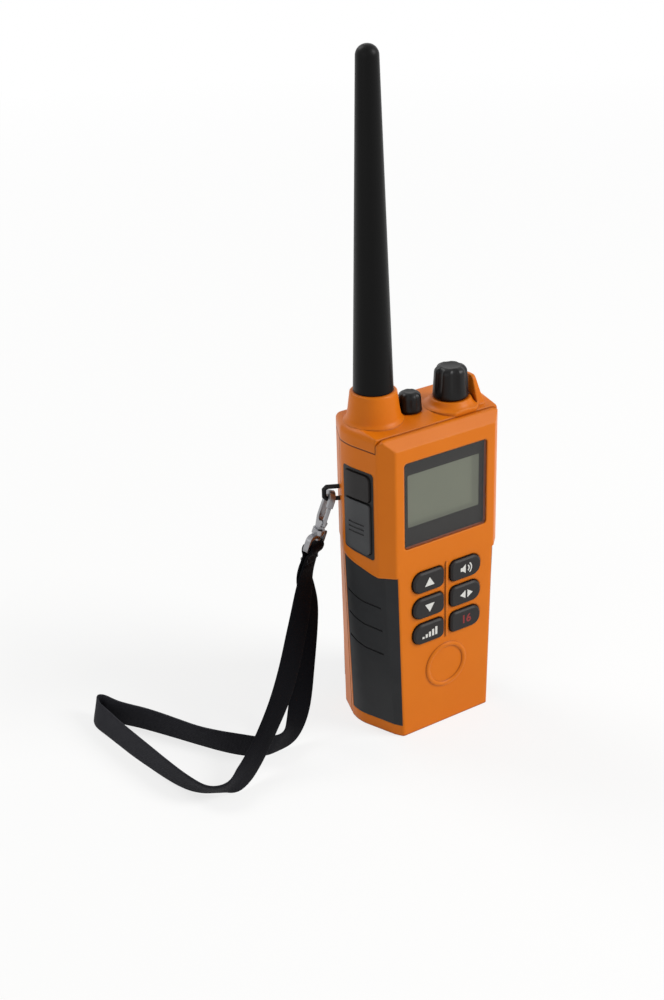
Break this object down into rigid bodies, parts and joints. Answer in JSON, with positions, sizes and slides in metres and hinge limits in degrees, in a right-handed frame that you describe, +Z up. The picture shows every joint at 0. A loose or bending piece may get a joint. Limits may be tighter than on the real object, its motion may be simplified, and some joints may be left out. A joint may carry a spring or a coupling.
{
  "type": "handheld vhf marine radio",
  "caption": "Handheld marine radio with a side switch panel, keypad and display on the front, knobs and a whip antenna on top, battery with belt clip behind, and a wrist strap on a snap hook.",
  "frame": {"origin": "middle of the flat base that the radio stands on", "axes": "+Z up along the antenna, the front with the display and keys faces -Y, +X to the viewer's right seen from the front"},
  "size_m": [0.1552, 0.0915, 0.2752],
  "materials": {
    "orange_shell": "fine satin moulded ABS",
    "grip_rubber": "matt moulded rubber",
    "knob_rubber": "matt",
    "seal_rubber": "matt",
    "window": "clear with a printed dark border",
    "screen": "liquid crystal cell",
    "black_plastic": "satin moulded plastic",
    "board": "solder mask",
    "tin_plate": "tinned",
    "cast_alloy": "as cast",
    "steel": "plain",
    "coated_steel": "black coated",
    "gold_contact": "gold plated",
    "hook_metal": "satin nickel",
    "webbing": "woven webbing"
  },
  "bodies": {
    "radio": {"front_shell": "orange_shell", "rear_shell": "orange_shell", "top_cap": "orange_shell", "left_grip": "grip_rubber", "right_grip": "grip_rubber", "ptt_frame": "grip_rubber", "accessory_cover": "grip_rubber", "antenna_sheath": "knob_rubber", "housing_gasket": "seal_rubber", "volume_seal": "seal_rubber", "channel_seal": "seal_rubber", "keypad_mat": "seal_rubber", "display_window": "window", "lcd_module": "screen", "battery_case": "black_plastic", "battery_lid": "black_plastic", "clip_bracket": "black_plastic", "lcd_frame": "black_plastic", "accessory_socket": "black_plastic", "microphone": "black_plastic", "main_board": "board", "ptt_switches": "board", "shield_can": "tin_plate", "volume_control": "tin_plate", "channel_control": "tin_plate", "speaker": "tin_plate", "chassis": "cast_alloy", "battery_cells": "cast_alloy", "case_screws": "steel", "cover_screw": "steel", "latch_pin": "steel", "clip_pin": "steel", "clip_spring": "steel", "antenna_whip": "steel", "lanyard_bar": "coated_steel", "radio_contacts": "gold_contact", "battery_contacts": "gold_contact", "antenna_socket": "gold_contact", "wrist_strap": "webbing"},
    "volume": {"volume_knob": "knob_rubber", "volume_shaft": "steel"},
    "channel": {"channel_knob": "knob_rubber", "channel_shaft": "steel"},
    "talk_switch": {"ptt_button": "grip_rubber"},
    "monitor_switch": {"side_button": "grip_rubber"},
    "latch": {"battery_latch": "black_plastic"},
    "clip": {"belt_clip": "black_plastic"},
    "hook": {"snap_hook": "hook_metal", "gate_pin": "hook_metal"},
    "gate": {"hook_gate": "hook_metal"},
    "swivel": {"swivel_eye": "hook_metal", "strap_end": "webbing"},
    "key_up_button": {"key_up": "grip_rubber"},
    "key_squelch_button": {"key_squelch": "grip_rubber"},
    "key_down_button": {"key_down": "grip_rubber"},
    "key_scan_button": {"key_scan": "grip_rubber"},
    "key_power_button": {"key_power": "grip_rubber"},
    "key_distress_button": {"key_distress": "grip_rubber"}
  },
  "joints": [
    {"name": "volume_turn", "type": "hinge", "parent": "radio", "child": "volume", "pos_m": [0.01395, -0.0062, 0.1375], "axis": [0, 0, -1], "range_deg": [0, 270]},
    {"name": "channel_turn", "type": "hinge", "parent": "radio", "child": "channel", "pos_m": [-0.0032, -0.0026, 0.1343], "axis": [0, 0, -1], "continuous": true},
    {"name": "key_up_press", "type": "slide", "parent": "radio", "child": "key_up_button", "axis": [0, 1, 0], "range_m": [0, 0.0008], "stiffness_N_per_m": 400},
    {"name": "key_squelch_press", "type": "slide", "parent": "radio", "child": "key_squelch_button", "axis": [0, 1, 0], "range_m": [0, 0.0008], "stiffness_N_per_m": 400},
    {"name": "key_down_press", "type": "slide", "parent": "radio", "child": "key_down_button", "axis": [0, 1, 0], "range_m": [0, 0.0008], "stiffness_N_per_m": 400},
    {"name": "key_scan_press", "type": "slide", "parent": "radio", "child": "key_scan_button", "axis": [0, 1, 0], "range_m": [0, 0.0008], "stiffness_N_per_m": 400},
    {"name": "key_power_press", "type": "slide", "parent": "radio", "child": "key_power_button", "axis": [0, 1, 0], "range_m": [0, 0.0008], "stiffness_N_per_m": 400},
    {"name": "key_distress_press", "type": "slide", "parent": "radio", "child": "key_distress_button", "axis": [0, 1, 0], "range_m": [0, 0.0008], "stiffness_N_per_m": 400},
    {"name": "talk_press", "type": "slide", "parent": "radio", "child": "talk_switch", "axis": [1, 0, 0], "range_m": [0, 0.001], "stiffness_N_per_m": 600},
    {"name": "monitor_press", "type": "slide", "parent": "radio", "child": "monitor_switch", "axis": [1, 0, 0], "range_m": [0, 0.001], "stiffness_N_per_m": 500},
    {"name": "latch_release", "type": "hinge", "parent": "radio", "child": "latch", "pos_m": [0, 0.02, 0.092], "axis": [-1, 0, 0], "range_deg": [0, 12], "stiffness_Nm_per_rad": 0.8},
    {"name": "clip_open", "type": "hinge", "parent": "radio", "child": "clip", "pos_m": [0, 0.0249, 0.066], "axis": [1, 0, 0], "range_deg": [0, 15], "stiffness_Nm_per_rad": 1.2},
    {"name": "hook_swing", "type": "hinge", "parent": "radio", "child": "hook", "pos_m": [-0.03259, 0.01147, 0.099], "axis": [-0.8899, 0.4562, 0], "range_deg": [-45, 45], "deforming": ["wrist_strap"]},
    {"name": "swivel_turn", "type": "hinge", "parent": "hook", "child": "swivel", "pos_m": [-0.03679, 0.01362, 0.08529], "axis": [0.2897, -0.1485, 0.9455], "continuous": true, "deforming": ["wrist_strap"]},
    {"name": "gate_open", "type": "hinge", "parent": "hook", "child": "gate", "pos_m": [-0.03646, 0.01041, 0.08892], "axis": [-0.9078, 0.2702, 0.3206], "range_deg": [0, 20], "stiffness_Nm_per_rad": 0.02}
  ]
}
